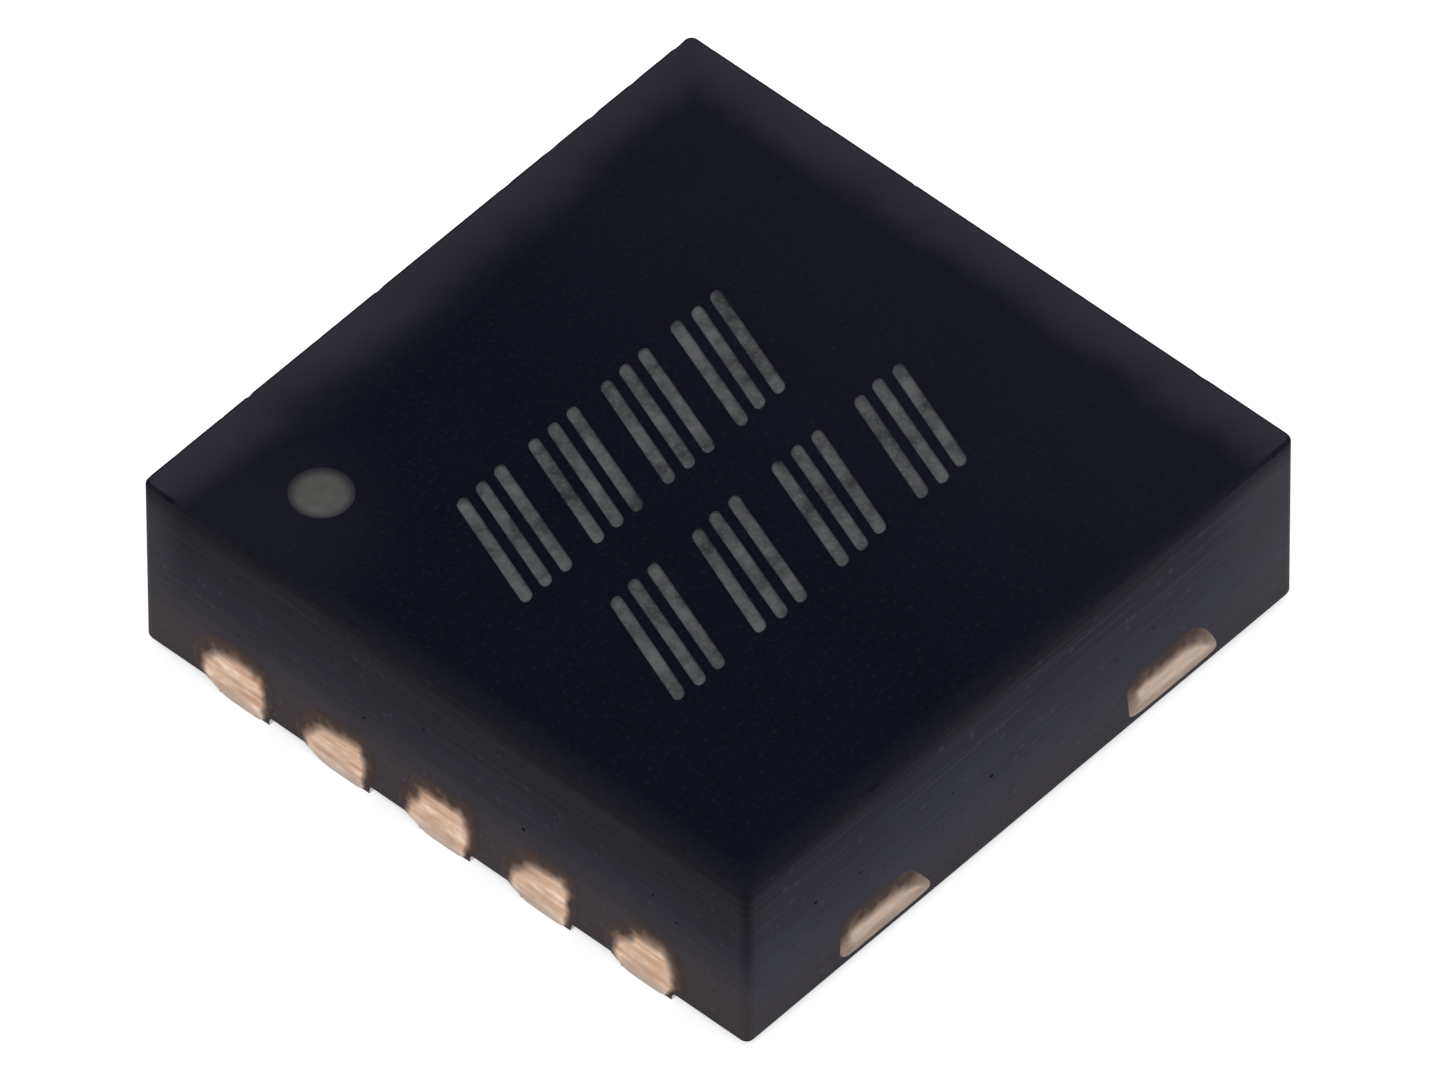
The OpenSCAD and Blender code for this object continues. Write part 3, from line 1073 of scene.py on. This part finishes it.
def etched_copper_alloy(tree, place, colours):
    """Copper alloy etched from both faces: salmon, with a fine satin pitting."""
    # Etch pits, 0.01 mm
    pitting = add(tree, "ShaderNodeTexNoise", {"Vector": place, "Scale": per(0.01), "Detail": 3})["Fac"]
    tone = add(
        tree,
        "ShaderNodeMix",
        {SHARE: pitting, FIRST: linear("#b9785a"), SECOND: linear("#d39a7c")},
        data_type="RGBA",
    )[MIXED]
    relief = add(tree, "ShaderNodeBump", {"Height": pitting, "Distance": 0.001 * MM, "Strength": 0.6})
    return {"Base Color": tone, "Normal": relief["Normal"], "Metallic": 1, "Roughness": 0.5}


def ground_silicon(tree, place, colours):
    """Silicon die, ground and sawn: blue-grey with a silky gloss."""
    # Grinding marks, 0.015 mm
    ground = add(tree, "ShaderNodeTexNoise", {"Vector": place, "Scale": per(0.015), "Detail": 3})["Fac"]
    tone = add(
        tree,
        "ShaderNodeMix",
        {SHARE: ground, FIRST: linear("#4a505a"), SECOND: linear("#666c76")},
        data_type="RGBA",
    )[MIXED]
    relief = add(tree, "ShaderNodeBump", {"Height": ground, "Distance": 0.0005 * MM, "Strength": 0.4})
    return {"Base Color": tone, "Normal": relief["Normal"], "Metallic": 0.6, "Roughness": 0.28}


def silver_filled_epoxy(tree, place, colours):
    """Epoxy die adhesive filled with silver flake: pale warm grey with glinting flakes."""
    # Flakes, 0.01 mm
    flakes = add(tree, "ShaderNodeTexVoronoi", {"Vector": place, "Scale": per(0.01)})["Distance"]
    share = add(tree, "ShaderNodeMapRange", {"Value": flakes, "From Min": 0.1, "From Max": 0.6})[0]
    tone = add(
        tree,
        "ShaderNodeMix",
        {SHARE: share, FIRST: linear("#cfccc3"), SECOND: linear("#98948b")},
        data_type="RGBA",
    )[MIXED]
    relief = add(tree, "ShaderNodeBump", {"Height": flakes, "Distance": 0.001 * MM, "Strength": 0.6})
    return {"Base Color": tone, "Normal": relief["Normal"], "Metallic": 0.5, "Roughness": 0.45}


def drawn_gold_wire(tree, place, colours):
    """Drawn gold wire: bright, with faint marks of the drawing die."""
    # Die marks, 0.006 mm
    marks = add(tree, "ShaderNodeTexNoise", {"Vector": place, "Scale": per(0.006), "Detail": 2})["Fac"]
    tone = add(
        tree,
        "ShaderNodeMix",
        {SHARE: marks, FIRST: linear("#d9a441"), SECOND: linear("#f0c465")},
        data_type="RGBA",
    )[MIXED]
    relief = add(tree, "ShaderNodeBump", {"Height": marks, "Distance": 0.0003 * MM, "Strength": 0.4})
    return {"Base Color": tone, "Normal": relief["Normal"], "Metallic": 1, "Roughness": 0.25}


class CHIP_OT_inside(bpy.types.Operator):
    """Give the die, its adhesive and the wires their finishes"""

    bl_idname = "chip.inside"
    bl_label = "Die and wires"

    def execute(self, context):
        inside = {"die": ground_silicon, "die_attach": silver_filled_epoxy}
        inside.update({wire: drawn_gold_wire for wire in WIRES})
        for node, kind in inside.items():
            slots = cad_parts[node].data.materials
            slots.clear()
            slots.append(finish(kind, context))
        return {"FINISHED"}


# Stage


def seen_directly(tree, strength):
    """The given strength for rays that the camera, a mirror or glass sends, and 0 for light on the chip."""
    path = add(tree, "ShaderNodeLightPath")
    either = add(
        tree,
        "ShaderNodeMath",
        {0: path["Is Camera Ray"], 1: path["Is Glossy Ray"]},
        operation="MAXIMUM",
    )[0]
    seen = add(tree, "ShaderNodeMath", {0: either, 1: path["Is Transmission Ray"]}, operation="MAXIMUM")[0]
    return add(tree, "ShaderNodeMath", {0: seen, 1: strength}, operation="MULTIPLY")[0]


# Radius of the floor in millimetres, and how far it lies below the terminals, because two faces in
# one plane would flicker
FLOOR_RADIUS = 400
FLOOR_DROP = 0.002
# Strength that the floor sends to the camera beyond its own colour, so that it reads white
FLOOR_GLOW = 0.55


def floor_disc(rgba):
    """Plain pale floor that reads white from above, keeps the chip's shadow and is clear from below."""
    bm = bmesh.new()
    bmesh.ops.create_circle(bm, cap_ends=True, segments=128, radius=FLOOR_RADIUS)
    bmesh.ops.translate(bm, vec=(0, 0, -FLOOR_DROP), verts=bm.verts)
    floor = new_object("floor", bm)
    floor.data.transform(Matrix.Scale(MM, 4))
    made = bpy.data.materials.new("pale_matt_floor")
    made.use_nodes = True
    tree = made.node_tree
    look = {
        "Base Color": rgba,
        "Roughness": 0.9,
        "Specular IOR Level": 0,
        "Emission Color": linear("#ffffff"),
        "Emission Strength": seen_directly(tree, FLOOR_GLOW),
    }
    feed(tree, tree.nodes["Principled BSDF"], look)
    below = add(tree, "ShaderNodeNewGeometry")["Backfacing"]
    matt = tree.nodes["Principled BSDF"].outputs["BSDF"]
    clear = add(tree, "ShaderNodeBsdfTransparent")["BSDF"]
    one_sided = add(tree, "ShaderNodeMixShader", {0: below, 1: matt, 2: clear})["Shader"]
    feed(tree, tree.nodes["Material Output"], {"Surface": one_sided})
    floor.data.materials.append(made)


def soft_sky(strength):
    """Even white light of the given strength, whose white also shows behind the chip."""
    world = bpy.data.worlds.new("soft_sky")
    world.use_nodes = True
    tree = world.node_tree
    seen = seen_directly(tree, 1 - strength)
    total = add(tree, "ShaderNodeMath", {0: seen, 1: strength}, operation="ADD")[0]
    feed(tree, tree.nodes["Background"], {"Color": linear("#ffffff"), "Strength": total})
    return world


def soft_lamp(name, place, size, power):
    """Square lamp, placed and sized in millimetres, that faces the chip."""
    data = bpy.data.lights.new(name, "AREA")
    data.size = size * MM
    data.energy = power
    lamp = bpy.data.objects.new(name, data)
    lamp.location = Vector(place) * MM
    lamp.rotation_euler = Vector(place).to_track_quat("Z", "Y").to_euler()
    bpy.context.scene.collection.objects.link(lamp)


def photo_camera(stage):
    """Camera at the photograph's angle, with a long lens and the photograph's framing."""
    flat = math.cos(stage.elevation)
    back = Vector(
        (math.sin(stage.azimuth) * flat, -math.cos(stage.azimuth) * flat, math.sin(stage.elevation))
    )
    turn = back.to_track_quat("Z", "Y").to_matrix() @ Matrix.Rotation(stage.roll, 3, "Z")
    data = bpy.data.cameras.new("camera")
    data.lens = data.sensor_width * stage.distance / stage.view_width
    # It sees from a twentieth of the way to the chip to twenty times as far
    data.clip_start = stage.distance / 20
    data.clip_end = stage.distance * 20
    camera = bpy.data.objects.new("camera", data)
    aim = Vector((0, 0, BODY_LOW.z * MM)) + turn @ Vector((stage.aim_right, stage.aim_up, 0))
    camera.matrix_world = Matrix.Translation(aim + back * stage.distance) @ turn.to_4x4()
    bpy.context.scene.collection.objects.link(camera)
    return camera


class CHIP_OT_stage(bpy.types.Operator):
    """Set up the floor, the soft light and the camera"""

    bl_idname = "chip.stage"
    bl_label = "Stage"

    def execute(self, context):
        scene = context.scene
        scene.camera = photo_camera(scene.chip_stage)
        floor_disc(scene.chip_stage.floor)
        scene.world = soft_sky(scene.chip_stage.sky)
        soft_lamp("key", (-45, -20, 60), size=50, power=0.012)
        soft_lamp("fill", (50, -45, 35), size=50, power=0.007)
        scene.view_settings.view_transform = "Standard"
        return {"FINISHED"}


OPERATORS = (CHIP_OT_stage, CHIP_OT_body, CHIP_OT_terminals, CHIP_OT_pad, CHIP_OT_inside)


class CHIP_PT_panel(bpy.types.Panel):
    """Steps that build the chip, and their settings"""

    bl_label = "Chip"
    bl_idname = "CHIP_PT_panel"
    bl_space_type = "VIEW_3D"
    bl_region_type = "UI"
    bl_category = "Chip"

    def draw(self, context):
        for operator in OPERATORS:
            self.layout.operator(operator.bl_idname)
        for name, kind in GROUPS.items():
            box = self.layout.box()
            box.label(text=kind.__doc__)
            for key in kind.__annotations__:
                box.prop(getattr(context.scene, name), key)


def register():
    """Adds the classes to Blender, and their settings to every scene."""
    for kind in (*GROUPS.values(), *OPERATORS, CHIP_PT_panel):
        bpy.utils.register_class(kind)
    for name, kind in GROUPS.items():
        setattr(bpy.types.Scene, name, PointerProperty(type=kind))


def unregister():
    """Takes the settings and the classes out again."""
    for name in GROUPS:
        delattr(bpy.types.Scene, name)
    for kind in reversed((*GROUPS.values(), *OPERATORS, CHIP_PT_panel)):
        bpy.utils.unregister_class(kind)


def main():
    """Builds the chip and its stage."""
    register()
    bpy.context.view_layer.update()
    bpy.ops.chip.stage()
    bpy.ops.chip.body()
    bpy.ops.chip.terminals()
    bpy.ops.chip.pad()
    bpy.ops.chip.inside()


if __name__ == "__main__":
    main()
